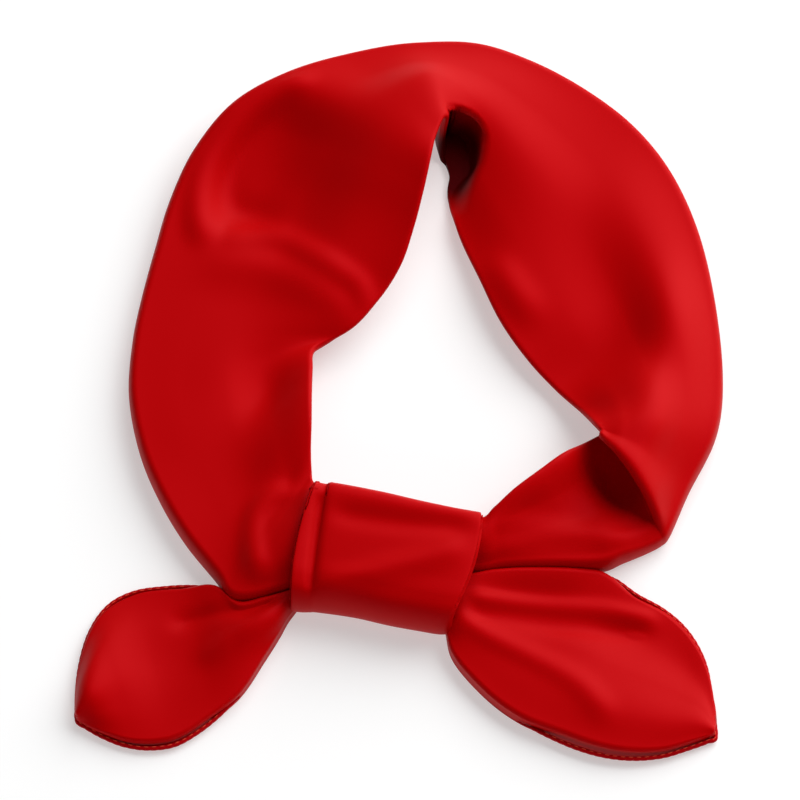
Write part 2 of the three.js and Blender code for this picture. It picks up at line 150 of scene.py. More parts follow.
# Sections of the left end, root to tip. Columns: front edge x, seen y; back edge x,
# seen y; heights at the front edge, a quarter, half, three quarters and the back edge.
LEFT_END_SECTIONS = [
    (-22.0, -60.6, -22.0, -55.8, 3.6, 5.0, 6.4, 7.4, 7.4),
    (-27.0, -62.8, -27.0, -57.4, 3.8, 5.6, 7.0, 7.8, 8.0),
    (-31.0, -67.6, -31.4, -59.1, 4.6, 6.8, 8.0, 7.8, 7.6),
    (-33.8, -73.5, -38.4, -61.2, 5.2, 7.4, 8.6, 7.8, 7.2),
    (-38.1, -81.0, -45.5, -62.6, 5.0, 7.0, 8.0, 7.0, 6.8),
    (-44.3, -90.9, -51.8, -57.6, 4.4, 5.8, 6.2, 5.8, 5.6),
    (-52.8, -99.8, -60.5, -57.0, 3.6, 4.0, 3.4, 3.4, 3.4),
    (-62.3, -106.2, -74.0, -58.6, 3.2, 3.4, 3.2, 3.4, 2.4),
    (-73.0, -107.1, -84.5, -66.3, 3.2, 4.6, 6.2, 5.6, 2.6),
    (-82.3, -103.9, -89.6, -82.0, 3.4, 5.8, 8.0, 7.0, 3.2),
    (-88.8, -99.9, -90.4, -95.8, 3.0, 4.4, 5.0, 4.6, 3.2),
]
LEFT_END_TIP = (-90.2, -98.6)
LEFT_END_FOLDS = [
    # crease under the band
    (-1.2, 2.0, 3, [(-35, -66), (-43, -67), (-52, -68), (-62, -70)]),
    # gather along the middle
    (1.2, 3, 4, [(-32, -70), (-43, -75), (-54, -81)]),
]

# Sections of the right end, root to tip. Columns: back edge x, seen y; front edge x,
# seen y; heights at the back edge, a quarter, half, three quarters and the front edge.
RIGHT_END_SECTIONS = [
    (5.0, -54.2, 5.0, -64.6, 6.5, 7.0, 7.0, 6.2, 4.0),
    (14.0, -54.4, 12.0, -66.6, 7.0, 7.2, 7.0, 6.2, 4.2),
    (20.6, -54.1, 12.9, -72.4, 7.6, 7.4, 7.6, 6.8, 5.4),
    (27.0, -52.9, 14.4, -79.4, 7.6, 6.6, 7.2, 6.8, 5.6),
    (37.0, -52.3, 19.6, -86.9, 7.6, 5.2, 6.4, 6.4, 5.6),
    (49.0, -52.5, 27.8, -95.1, 6.8, 3.8, 5.6, 6.2, 5.4),
    (58.0, -53.7, 37.8, -101.7, 4.4, 2.8, 5.2, 6.2, 5.4),
    (66.6, -59.8, 49.0, -107.2, 2.2, 1.6, 4.6, 6.3, 5.4),
    (75.6, -65.6, 60.0, -110.1, 1.2, 1.2, 4.0, 6.0, 5.0),
    (82.2, -73.6, 71.0, -110.0, 1.2, 1.2, 3.4, 5.2, 4.2),
    (86.1, -84.0, 80.4, -107.2, 1.4, 1.8, 3.2, 4.4, 3.6),
    (87.8, -99.0, 86.7, -104.7, 2.0, 2.4, 3.0, 3.4, 3.0),
]
RIGHT_END_TIP = (88.2, -103.6)
RIGHT_END_FOLDS = [
    # small ridge along the back edge with a valley in front of it
    (1.4, 2.4, 2.8, [(21, -64), (39, -65.6), (56, -66.2), (70, -68)]),
    (-0.8, 3.0, 3.4, [(21, -69), (39, -72), (56, -72.5), (68, -73)]),
    # main ridge
    (1.0, 2.6, 4, [(16, -70), (25, -76), (37, -82), (50, -90), (57, -99)]),
]

# Plan depths of the rolls along the band's two edges and along an end's edges, the
# height they belong to, and a roll's share of the steps across
BAND_ROLLS = (2.0, 0.0)
END_ROLLS = (0.9, 0.9)
ROLL_HEIGHT = 7.0
ROLL_SHARE = 0.12

# Rings of the knot's wrap, left mouth to right mouth. Columns: back x, y;
# front x, y; height of the middle; top; how far the cloth swells out.
WRAP_RINGS = [
    (-23.2, -30.6, -30.8, -66.8, 7.8, 17.8, 0.1),
    (-22.6, -30.7, -29.8, -67.0, 7.8, 18.0, 0.3),
    (-21.4, -30.6, -27.4, -67.6, 7.8, 17.9, 0.0),
    (-19.9, -30.4, -25.2, -67.9, 7.8, 17.7, -0.3),
    (-17.8, -30.8, -22.8, -67.6, 7.8, 18.2, 0.1),
    (-5.0, -33.9, -12.6, -69.0, 7.8, 18.6, 0.3),
    (5.6, -36.7, -3.4, -71.3, 7.8, 18.8, 0.3),
    (14.6, -38.7, 5.0, -73.1, 7.8, 18.8, 0.2),
    (20.2, -39.5, 10.6, -74.3, 7.8, 18.6, 0.0),
    (23.5, -39.8, 14.0, -74.2, 7.8, 18.2, -0.2),
]
# The wrap's section, evenly spaced round it from the back over the top. Columns: place
# from the front (-1) to the back (1), place from the floor (-1) to the top (1).
WRAP_SECTION = [
    (1.00, 0.00),
    (0.94, 0.50),
    (0.85, 0.88),
    (0.71, 1.00),
    (0.40, 0.96),
    (0.05, 0.91),
    (-0.32, 0.87),
    (-0.64, 0.81),
    (-0.88, 0.62),
    (-1.00, 0.10),
    (-0.95, -0.60),
    (-0.75, -1.00),
    (-0.30, -1.00),
    (0.30, -1.00),
    (0.75, -1.00),
    (0.95, -0.60),
]
# How far the wrap's mouths bulge outwards over the cloth that enters them
WRAP_BULGE_LEFT = 1.8
WRAP_BULGE_RIGHT = 2.3
# The wrap's lips curl in by this much, over this share of its length
WRAP_LIP = 1.4
WRAP_LIP_SHARE = 0.06
# The folds of the wrap fade out below this part of its height
WRAP_FOLD_FROM = 0.5
WRAP_FOLDS = [
    # crease beside the roll at the left mouth
    (-0.8, 1.6, 1.6, [(-22.2, -38), (-23.2, -46), (-24.0, -55), (-24.8, -64)]),
    # diagonal ridge with a valley behind it
    (1.3, 3.6, 4.2, [(-21, -64), (-4, -60), (8, -56.8), (17, -54.2)]),
    (-1.0, 3.5, 3.5, [(-17, -43), (0, -46), (17, -47)]),
]

# Vertices nearer than this are one vertex, in metres
MERGE_DISTANCE = 1e-6
# Shortest length that a vector is divided by
TINY = 1e-12
# Points to each point of a path, when it is spaced evenly
PATH_DENSITY = 40
# Steps in each half of a rim's rounding
RIM_STEPS = 3

# Numbers of steps along and across each sheet, along and round the wrap and the hems
BAND_STEPS = (400, 100)
WRAP_STEPS = (110, 200)
END_STEPS = (150, 90)
HEM_STEPS = (420, 14)

# Flat sizes of the folded strips, in metres: width and length, and the ends' areas
LEFT_FLAT = (0.050, 0.085, 0.0030)
RIGHT_FLAT = (0.055, 0.095, 0.0040)
ENDS = [
    ("left", LEFT_END_SECTIONS, LEFT_END_FOLDS, LEFT_END_TIP, LEFT_FLAT),
    ("right", RIGHT_END_SECTIONS, RIGHT_END_FOLDS, RIGHT_END_TIP, RIGHT_FLAT),
]

# The stage, in metres
FLOOR_SIZE = 4.0
KEY_PLACE = (1.20, 1.335, 1.32)
KEY_SIZE = 2.7
FILL_PLACE = (-0.3, -1.1, 0.5)
FILL_SIZE = 0.8
CAMERA_AIM = Vector((-BOX_MIDDLE[0], -BOX_MIDDLE[1], 0)) * MM
# How far the camera sees, in camera distances
CAMERA_SIGHT = 10
FLOOR_ROUGHNESS = 0.9
FLOOR_SPECULAR = 0.1
WHITE = (1, 1, 1, 1)
BLACK = (0, 0, 0, 1)

# Satin: how far the dye varies, scale and detail of its clouds and slubs, shares of the
# floats and the ties in its weave, strength and distance of its bump, least roughness
# and the tint of its reflections
DYE_RANGE = (0.93, 1.07)
CLOUD_NOISE = (45.0, 3.0)
SLUB_NOISE = (900.0, 2.0)
WEAVE_SHARES = (0.8, 0.2)
SATIN_BUMP = (0.25, 0.0001)
SATIN_ROUGHNESS = 0.47
SATIN_TINT = (1.0, 0.04, 0.09, 1.0)
# Thread: scale and detail of its fuzz, strength and distance of its bump, least roughness
FUZZ_NOISE = (4000.0, 2.0)
THREAD_BUMP = (0.3, 0.0001)
THREAD_ROUGHNESS = 0.5
# How far the roughness of both rises with their noise
ROUGHNESS_RANGE = 0.1
# Place of the colour among a mix node's outputs
MIX_COLOUR = 2

# Distance of the stitches inside the outline, and the segments and rings of one
STITCH_INSET = 0.8
STITCH_SPHERE = (8, 6)

# A hem's pinch at each stitch, as a share of its section, and the power that keeps it short
HEM_PINCH = 0.12
HEM_PINCH_SHARPNESS = 6

# Shares of an end's length: where its hem has its full room, the stretch before that in
# which it begins, where the hem leaves the edges for the tip, and where the cloth ends
HEM_START = 0.62
HEM_FADE = 0.12
HEM_TURN = 0.97
CLOTH_END = 0.985
# Gap between cloth and hem, the stretch in which a hem's section grows and wanes, the
# share of it that is left at both ends, and the points taken from each edge
HEM_GAP = 0.12
HEM_TAPER = 8.0
HEM_THIN = 0.25
HEM_POINTS = 8


def catmull_rom(a, b, c, d, f):
    """Catmull-Rom curve from b to c, at the share f of this stretch."""
    return 0.5 * (2 * b + (c - a) * f + (2 * a - 5 * b + 4 * c - d) * f ** 2
                  + (3 * b - a - 3 * c + d) * f ** 3)


def through(rows, place):
    """Smooth curve through evenly spaced rows, at places from 0 to 1."""
    rows = np.asarray(rows, float)
    last = len(rows) - 1
    x = np.clip(place, 0, 1) * last
    i = np.minimum(np.floor(x).astype(int), last - 1)
    near = (rows[np.clip(i + k, 0, last)] for k in (-1, 0, 1, 2))
    return catmull_rom(*near, (x - i)[..., None])


def smoothstep(x):
    """0 below 0, 1 above 1, and smooth between them."""
    x = np.clip(x, 0, 1)
    return x * x * (3 - 2 * x)


def stroke(xy, path, start, end):
    """Strength of a soft brush stroke at places in plan."""
    points = through(path, np.linspace(0, 1, STROKE_POINTS))
    lengths = np.linalg.norm(np.diff(points, axis=0), axis=1)
    spacing = np.concatenate([lengths[:1], (lengths[1:] + lengths[:-1]) / 2, lengths[-1:]])
    strength = np.zeros(xy.shape[:-1])
    for point, step, width in zip(points, spacing, np.linspace(start, end, STROKE_POINTS)):
        strength += (step / (width * math.sqrt(math.pi))
                     * np.exp(-((xy - point) ** 2).sum(-1) / width ** 2))
    return strength


def fold(points, rows, fades):
    """Adds a table's folds to a sheet's points."""
    xy = points[..., :2].copy()
    for height, start, end, path in rows:
        points[..., 2] += height * stroke(xy, path, start, end) * fades
    return points


def sink(points, path, level, begun):
    """Sinks a sheet's points to a level inside a path's circles, where this has begun.

    The wall leans in under the rim.
    """
    depth = np.full(points.shape[:-1], -np.inf)
    for x, y, radius, width in through(path, np.linspace(0, 1, STROKE_POINTS)):
        away = np.linalg.norm(points[..., :2] - (x, y), axis=-1)
        depth = np.maximum(depth, (radius - away) / width)
    inside, begun = smoothstep(depth)[..., None], begun[..., None]
    upper = begun * smoothstep((points[..., 1:2] - HOLLOW_UPPER_FROM) / HOLLOW_UPPER_FADE)
    points[..., 2:] += (level - points[..., 2:]) * inside * begun
    points[..., :2] += upper * (np.sin(math.pi * inside) * HOLLOW_LEAN + inside * HOLLOW_SHIFT)
    return points


def grid_places(steps):
    """Places along and across a sheet with these numbers of steps."""
    along, across = steps
    return np.meshgrid(np.linspace(0, 1, along + 1), np.linspace(0, 1, across + 1), indexing="ij")


def heights_across(heights, t):
    """Smooth curve through evenly spaced heights, with the last axis across."""
    last = heights.shape[-1] - 1
    x = np.clip(t, 0, 1) * last
    i = np.minimum(np.floor(x).astype(int), last - 1)
    near = (np.take_along_axis(heights, np.clip(i + k, 0, last)[..., None], -1)[..., 0]
            for k in (-1, 0, 1, 2))
    return catmull_rom(*near, x - i)


def rolled_edge(edge, other, height, roll, turned, wall):
    """An edge's place in plan, and how far in and how far down the cloth is along it.

    other is the sheet's other edge, roll the depth of the roll down to the floor, 0 for
    none, and turned the share of the roll that is passed.
    """
    edge = edge - np.stack([0 * height, SIGHT * height * (0.5 if roll else 1)], axis=-1)
    if not roll:
        return edge, np.full(height.shape, wall / 2), 0 * height
    out = unit(edge - other)
    depth = roll * np.minimum(height / ROLL_HEIGHT, 1)
    slack = np.hypot(depth, SIGHT * out[..., 1] * height / 2) - depth
    turn = math.pi * (np.clip(turned, 0, 1) - 0.5)
    inset = wall / 2 + (slack + (depth - wall / 2) * (1 - np.cos(turn)))
    return edge, inset, (height - wall / 2) * (1 - (1 + np.sin(turn)) / 2)


def sheet_points(sections, rows, steps, wall, rolls, hem=0.0, hollow=None):
    """Middle of a sheet's cloth, rows along it and columns across it.

    rolls has the depths of the rolls down to the floor along the first and the second
    edge, 0 for none. hem is the width that the cloth leaves free for a hem round its tip,
    and hollow the path along which it sinks.
    """
    s, place = grid_places(steps)
    if hem:
        s = s * CLOTH_END
    row = through(sections, s)
    first, second, heights = row[..., 0:2], row[..., 2:4], row[..., 4:9]
    bow = row[..., 9] if row.shape[-1] > 9 else np.zeros(s.shape)
    shares = [ROLL_SHARE if roll else 0.0 for roll in rolls]
    t = np.clip((place - shares[0]) / (1 - sum(shares)), 0, 1)
    edges, insets, drops = zip(
        rolled_edge(first, second, heights[..., 0], rolls[0], place / ROLL_SHARE, wall),
        rolled_edge(second, first, heights[..., 4], rolls[1], (1 - place) / ROLL_SHARE, wall))
    room = hem * smoothstep((s - HEM_START) / HEM_FADE + 1)
    insets = [inset + room for inset in insets]
    over = edges[1] - edges[0]
    width = np.linalg.norm(over, axis=-1)
    inwards = over / width[..., None]
    side = np.stack([inwards[..., 1], -inwards[..., 0]], axis=-1)
    run = insets[0] + (width - insets[0] - insets[1]) * t
    run = np.where(t <= 0, insets[0], np.where(t >= 1, width - insets[1], run))
    xy = edges[0] + inwards * run[..., None] + side * (bow * 4 * t * (1 - t))[..., None]
    z = heights_across(heights, t) - np.where(t <= 0, drops[0], 0) - np.where(t >= 1, drops[1], 0)
    points = np.concatenate([xy, z[..., None]], axis=-1)
    distance = np.minimum(t, 1 - t) if rolls[1] else t
    fades = 1 - (1 - np.minimum(distance / EDGE_FADE, 1)) ** 2
    points = fold(points, rows, fades)
    if hollow:
        begun = smoothstep((s * (len(sections) - 1) - HOLLOW_FROM) / HOLLOW_BLEND)
        points = sink(points, hollow, HOLLOW_LEVEL, begun)
    points[..., 2] = np.maximum(points[..., 2], wall / 2)
    return points


def unit(vectors):
    """Vectors made one long."""
    return vectors / np.maximum(np.linalg.norm(vectors, axis=-1, keepdims=True), TINY)


def grid_directions(points, sleeve):
    """Directions along, across and out of a grid of points."""
    along = unit(np.gradient(points, axis=0))
    if sleeve:
        wide = np.concatenate([points[:, -2:-1], points, points[:, 1:2]], axis=1)
        across = unit(np.gradient(wide, axis=1)[:, 1:-1])
    else:
        across = unit(np.gradient(points, axis=1))
    return along, across, unit(np.cross(across, along))


def shell_points(middle, wall, sleeve):
    """Outer and inner surface of cloth, which meet in rounded rims."""
    turn = np.linspace(math.pi / 2, 0, RIM_STEPS + 1)[:-1]
    rise, reach = [], []
    for steps, rounded in zip(middle.shape, (True, not sleeve)):
        ends = turn if rounded else turn[:0]
        rise.append(np.concatenate([np.cos(ends), np.ones(steps), np.cos(ends[::-1])]))
        reach.append(np.concatenate([-np.sin(ends), np.zeros(steps), np.sin(ends[::-1])]))
    edge = (RIM_STEPS, RIM_STEPS)
    pad = (edge, (0, 0) if sleeve else edge, (0, 0))
    along, across, out = (np.pad(directions, pad, mode="edge")
                          for directions in grid_directions(middle, sleeve))
    centre = np.pad(middle, pad, mode="edge")
    beside = across * reach[1][None, :, None] + along * (reach[0][:, None] * rise[1])[..., None]
    above = out * (rise[0][:, None] * rise[1])[..., None]
    shells = [centre + (beside + above) * wall / 2, centre + (beside - above) * wall / 2]
    for shell in shells:
        shell[..., 2] = np.maximum(shell[..., 2], 0)
    return shells


def wrap_points(steps, wall):
    """Middle of the knot's wrap, rows along it and columns round it."""
    s, turn = grid_places(steps)
    ring = np.moveaxis(through(WRAP_RINGS, s), -1, 0)
    back_x, back_y, front_x, front_y, middle, top, swell = ring
    back = np.stack([back_x, back_y], axis=-1)
    front = np.stack([front_x, front_y], axis=-1)
    half = (back - front) / 2
    reach = np.linalg.norm(half, axis=-1)
    inside = 1 - np.clip(np.minimum(s, 1 - s) / WRAP_LIP_SHARE, 0, 1)
    lip = WRAP_LIP * (1 - np.sqrt(1 - inside ** 2))
    half *= ((reach + swell - lip) / reach)[..., None]
    # The curve is taken from the middle one of three sections in a row, so that it closes
    count = len(WRAP_SECTION)
    c, d = np.moveaxis(through(3 * WRAP_SECTION, (1 + turn) * count / (3 * count - 1)), -1, 0)
    xy = (back + front) / 2 + half * c[..., None]
    bulge = WRAP_BULGE_RIGHT * smoothstep(2 * s - 1) - WRAP_BULGE_LEFT * smoothstep(1 - 2 * s)
    xy[..., 0] += bulge * (1 - c ** 2)
    z = middle + np.where(d > 0, top + swell - lip - middle, middle - lip) * d
    points = np.concatenate([xy, z[..., None]], axis=-1)
    points = fold(points, WRAP_FOLDS, smoothstep(d / WRAP_FOLD_FROM))
    return points - grid_directions(points, True)[2] * wall / 2


def hem_path(sections, tip):
    """Points along an end's outline, from the hem's start round the tip and back."""
    row = through(sections, np.linspace(HEM_START - HEM_FADE, HEM_TURN, HEM_POINTS))
    front, back = row[:, [0, 1, 4]], row[::-1, [2, 3, 8]]
    path = np.concatenate([front, [(*tip, (front[-1, 2] + back[0, 2]) / 2)], back])
    path[:, 2] /= 2
    path[:, 1] -= SIGHT * path[:, 2]
    return path


def lengths_to(points):
    """Distances from a path's first point to each of its points."""
    return np.concatenate([[0], np.cumsum(np.linalg.norm(np.diff(points, axis=0), axis=1))])


def even_path(points, count):
    """Points at even distances along the smooth curve through points."""
    dense = through(points, np.linspace(0, 1, PATH_DENSITY * len(points)))
    run = lengths_to(dense)
    places = np.linspace(0, run[-1], count)
    return np.stack([np.interp(places, run, dense[:, k]) for k in range(dense.shape[1])], axis=-1)


def hem_frames(sections, tip, count):
    """Even points along the hem's outline, with the directions ahead and inwards in plan."""
    path = even_path(hem_path(sections, tip), count)
    ahead = np.gradient(path[:, :2], axis=0)
    ahead /= np.linalg.norm(ahead, axis=1, keepdims=True)
    inwards = np.stack([-ahead[:, 1], ahead[:, 0]], axis=1)
    if (inwards * (path.mean(axis=0) - path)[:, :2]).sum() < 0:
        inwards = -inwards
    return path, ahead, inwards


def hem_points(sections, tip, width, height, stitch_spacing, steps):
    """Surface of a rolled hem, rows along it and columns round it."""
    along, around = steps
    path, ahead, inwards = hem_frames(sections, tip, along + 1)
    run = lengths_to(path)
    pinch = 1 - HEM_PINCH * np.cos(math.pi * run / stitch_spacing) ** HEM_PINCH_SHARPNESS
    taper = HEM_THIN + (1 - HEM_THIN) * smoothstep(np.minimum(run, run[-1] - run) / HEM_TAPER)
    angle = np.linspace(0, 2 * math.pi, around + 1)
    if ahead[0, 0] * inwards[0, 1] > ahead[0, 1] * inwards[0, 0]:
        angle = -angle
    side = np.outer(pinch * taper, np.cos(angle)) * width / 2
    rise = np.outer(pinch * taper, np.sin(angle)) * height / 2
    middle = path[:, :2] + inwards * (taper * width / 2)[:, None]
    xy = middle[:, None] + inwards[:, None] * side[..., None]
    return np.concatenate([xy, (path[:, 2:] + rise)[..., None]], axis=-1)


def stitch_row(sections, tip, settings):
    """Hem stitches: short rounded dashes along the hem, in one mesh."""
    dense, _, _ = hem_frames(sections, tip, HEM_STEPS[0])
    total = np.linalg.norm(np.diff(dense, axis=0), axis=1).sum()
    count = int(total / (settings.stitch_spacing / MM))
    path, ahead, inwards = hem_frames(sections, tip, count)
    length, thickness = settings.stitch_length, settings.stitch_thickness
    skipped = int(HEM_TAPER / (settings.stitch_spacing / MM)) + 1
    segments, rings = STITCH_SPHERE
    bm = bmesh.new()
    for place, forward, inward in list(zip(path, ahead, inwards))[skipped:-skipped]:
        x, y = (place[:2] + inward * STITCH_INSET - BOX_MIDDLE) * MM
        z = place[2] * MM + settings.hem_height / 2
        turn = Matrix.Rotation(math.atan2(forward[1], forward[0]), 4, "Z")
        shape = Matrix.Diagonal((length / 2, thickness / 2, thickness / 2, 1))
        bmesh.ops.create_uvsphere(bm, u_segments=segments, v_segments=rings, radius=1,
                                  matrix=Matrix.Translation((x, y, z)) @ turn @ shape)
    return bm


def weave_lengths(points):
    """Distances along and across a grid of points, so that the weave keeps its scale."""
    along = np.linalg.norm(np.diff(points, axis=0), axis=-1).mean(axis=1)
    across = np.linalg.norm(np.diff(points, axis=1), axis=-1)
    u = np.concatenate([[0], np.cumsum(along)])
    v = np.concatenate([np.zeros((len(points), 1)), np.cumsum(across, axis=1)], axis=1)
    return np.broadcast_to(u[:, None], v.shape), v - v[:, -1:] / 2


def place_grid(bm, points):
    """Adds a grid with its vertices at these points, and the weave's lengths as its UV map."""
    rows, columns = points.shape[:2]
    u, v = (length.ravel() * MM for length in weave_lengths(points))
    placed = ((points - (*BOX_MIDDLE, 0)) * MM).reshape(-1, 3)
    weave = bm.loops.layers.uv.verify()
    known = len(bm.verts)
    made = bmesh.ops.create_grid(bm, x_segments=columns - 1, y_segments=rows - 1, size=1)
    bm.verts.index_update()
    for vert, place in zip(made["verts"], placed):
        vert.co = place
    faces = {face for vert in made["verts"] for face in vert.link_faces}
    for face in faces:
        for loop in face.loops:
            loop[weave].uv = u[loop.vert.index - known], v[loop.vert.index - known]
    return sorted(faces, key=lambda face: face.index)


def cloth_piece(name, middle, wall, material, sleeve=False):
    """Makes cloth of one thickness with rounded rims, closed all round."""
    bm = bmesh.new()
    outer, inner = shell_points(middle, wall, sleeve)
    place_grid(bm, outer)
    under = place_grid(bm, inner)
    bmesh.ops.reverse_faces(bm, faces=under)
    bmesh.ops.remove_doubles(bm, verts=bm.verts[:], dist=MERGE_DISTANCE)
    return finished_piece(name, bm, material)


def finished_piece(name, bm, material):
    """Makes a smooth piece that rides with the scarf, with its place in its mesh."""
    mesh = bpy.data.meshes.new(name)
    bm.to_mesh(mesh)
    bm.free()
    mesh.shade_smooth()
    mesh.materials.append(material)
    piece = bpy.data.objects.new(name, mesh)
    bpy.context.scene.collection.objects.link(piece)
    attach(piece, "root")
    return piece


class Value:
    """A shader socket that Python's own operators work on."""

    def __init__(self, shader, socket):
        self.shader = shader
        self.socket = socket

    def maths(self, operation, *values):
        settings = {"operation": operation}
        return self.shader.node("ShaderNodeMath", settings, dict(enumerate(values)))

    def __add__(self, other):
        return self.maths("ADD", self, other)

    def __sub__(self, other):
        return self.maths("SUBTRACT", self, other)

    def __mul__(self, other):
        return self.maths("MULTIPLY", self, other)

    def __rsub__(self, other):
        return self.maths("SUBTRACT", other, self)

    __radd__ = __add__
    __rmul__ = __mul__

    def sine(self):
        return self.maths("SINE", self)


class Shader:
    """A material whose nodes are made one by one."""

    def __init__(self, name):
        self.material = bpy.data.materials.new(name)
        self.material.use_nodes = True
        self.tree = self.material.node_tree
        self.surface = self.tree.nodes["Principled BSDF"]

    def node(self, kind, settings=None, inputs=None, output=0):
        """Adds a node: its settings first, then the values or links of its sockets."""
        made = self.tree.nodes.new(kind)
        for name, value in (settings or {}).items():
            setattr(made, name, value)
        for name, value in (inputs or {}).items():
            self.feed(made.inputs[name], value)
        return Value(self, made.outputs[output])

    def feed(self, socket, value):
        if isinstance(value, Value):
            self.tree.links.new(value.socket, socket)
        else:
            socket.default_value = value

    def noise(self, place, scale, detail):
        """Soft noise from 0 to 1 over a place's coordinates."""
        return self.node("ShaderNodeTexNoise",
                         inputs={"Vector": place, "Scale": scale, "Detail": detail})

    def mix(self, share, first, second):
        """A colour between the first and the second."""
        return self.node("ShaderNodeMix", {"data_type": "RGBA"},
                         {"Factor": share, "A": first, "B": second}, MIX_COLOUR)

    def bump(self, height, strength, distance):
        """Normals of a surface with this height."""
        return self.node("ShaderNodeBump", inputs={
            "Strength": strength, "Distance": distance, "Height": height})

    def set(self, **inputs):
        """Feeds the surface's own sockets, named with underscores."""
        for name, value in inputs.items():
            self.feed(self.surface.inputs[name.replace("_", " ")], value)
        return self.material


def painted_hollow_shade(shader):
    """Strength of the shade painted into the colour in the hollow, from the piece's own
    coordinates.
    """
    middle = [(k - m) * MM for k, m in zip(SHADE_MIDDLE, (*BOX_MIDDLE, 0))]
    place = shader.node("ShaderNodeTexCoord", output="Object")
    away = shader.node("ShaderNodeVectorMath", {"operation": "SUBTRACT"}, {0: place, 1: middle})
    share = shader.node("ShaderNodeVectorMath", {"operation": "DIVIDE"},
                        {0: away, 1: [reach * MM for reach in SHADE_REACH]})
    length = shader.node("ShaderNodeVectorMath", {"operation": "LENGTH"}, {0: share}, "Value")
    return shader.node("ShaderNodeMapRange", {"interpolation_type": "SMOOTHSTEP"}, {
        "Value": length, "From Min": SHADE_FROM, "From Max": 1.0, "To Min": SHADE, "To Max": 0.0})


def satin(name, dye, settings, painted_shade=False):
    """Satin cloth: fine floats at a slant to the fold, with a slight unevenness, and, if asked,
    shade painted into its colour in the band's hollow.
    """
    shader = Shader(name)
    place = shader.node("ShaderNodeUVMap", {"uv_map": "weave"})
    u = shader.node("ShaderNodeSeparateXYZ", inputs={"Vector": place})
    v = Value(shader, u.socket.node.outputs["Y"])
    slant = (u + v) * (2 * math.pi / (settings.thread_pitch * math.sqrt(2)))
    cross = (u - v) * (2 * math.pi / (settings.thread_pitch * math.sqrt(2)))
    floats = slant.sine() * 0.5 + 0.5
    ties = cross.sine() * 0.5 + 0.5
    weave = floats * WEAVE_SHARES[0] + ties * WEAVE_SHARES[1]
    cloud = shader.noise(place, *CLOUD_NOISE)
    slub = shader.noise(place, *SLUB_NOISE)
    colour = shader.mix(cloud, *((*(channel * share for channel in dye), 1)
                                 for share in DYE_RANGE))
    # shade painted into the colour in the band's hollow, mixed towards black
    if painted_shade:
        colour = shader.mix(painted_hollow_shade(shader), colour, BLACK)
    bump = shader.bump(weave * 0.5 + slub * 0.5, *SATIN_BUMP)
    return shader.set(Base_Color=colour, Roughness=cloud * ROUGHNESS_RANGE + SATIN_ROUGHNESS,
                      Normal=bump, Specular_IOR_Level=settings.gloss, Specular_Tint=SATIN_TINT)


def thread(name, dye, settings):
    """Twisted sewing thread."""
    shader = Shader(name)
    fuzz = shader.noise(shader.node("ShaderNodeTexCoord", output="Object"), *FUZZ_NOISE)
    return shader.set(Base_Color=(*dye, 1), Roughness=fuzz * ROUGHNESS_RANGE + THREAD_ROUGHNESS,
                      Normal=shader.bump(fuzz, *THREAD_BUMP), Specular_IOR_Level=settings.gloss)


class ScarfSettings(bpy.types.PropertyGroup):
    band_wall: bpy.props.FloatProperty(
        name="Band thickness", description="Thickness of the folded cloth in the band",
        default=0.002, min=0.001, max=0.003, unit="LENGTH")
    wrap_wall: bpy.props.FloatProperty(
        name="Wrap thickness", description="Thickness of the cloth round the knot",
        default=0.0022, min=0.001, max=0.003, unit="LENGTH")
    end_wall: bpy.props.FloatProperty(
        name="End thickness", description="Thickness of the cloth in the two ends",
        default=0.0016, min=0.001, max=0.003, unit="LENGTH")
    hem_width: bpy.props.FloatProperty(
        name="Hem width", description="Width of the rolled hem",
        default=0.0013, min=0.001, max=0.004, unit="LENGTH")
    hem_height: bpy.props.FloatProperty(
        name="Hem height", description="Height of the rolled hem above the surface it lies on",
        default=0.0013, min=0.001, max=0.003, unit="LENGTH")
    stitch_spacing: bpy.props.FloatProperty(
        name="Stitch spacing", description="Distance from one hem stitch to the next",
        default=0.0022, min=0.001, max=0.006, unit="LENGTH")
    stitch_length: bpy.props.FloatProperty(
        name="Stitch length", description="Length of one hem stitch",
        default=0.0014, min=0.0005, max=0.004, unit="LENGTH")
    stitch_thickness: bpy.props.FloatProperty(
        name="Stitch thickness", description="Thickness of the hem's thread",
        default=0.0003, min=0.0002, max=0.001, unit="LENGTH")
    thread_pitch: bpy.props.FloatProperty(
        name="Thread pitch", description="Distance between the satin's floats",
        default=0.0005, min=0.0001, max=0.002, unit="LENGTH")
    gloss: bpy.props.FloatProperty(
        name="Gloss", description="Strength of the satin's reflections",
        default=0.17, min=0.0, max=1.0, subtype="FACTOR")
    satin_colour: bpy.props.FloatVectorProperty(
        name="Satin colour", description="Colour of the dyed satin",
        default=(0.46, 0.0, 0.0006), min=0.0, max=1.0, size=3, subtype="COLOR")
    hem_colour: bpy.props.FloatVectorProperty(
        name="Hem colour", description="Colour of the rolled hem",
        default=(0.41, 0.001, 0.003), min=0.0, max=1.0, size=3, subtype="COLOR")
    stitch_colour: bpy.props.FloatVectorProperty(
        name="Stitch colour", description="Colour of the hem's thread",
        default=(0.72, 0.05, 0.02), min=0.0, max=1.0, size=3, subtype="COLOR")


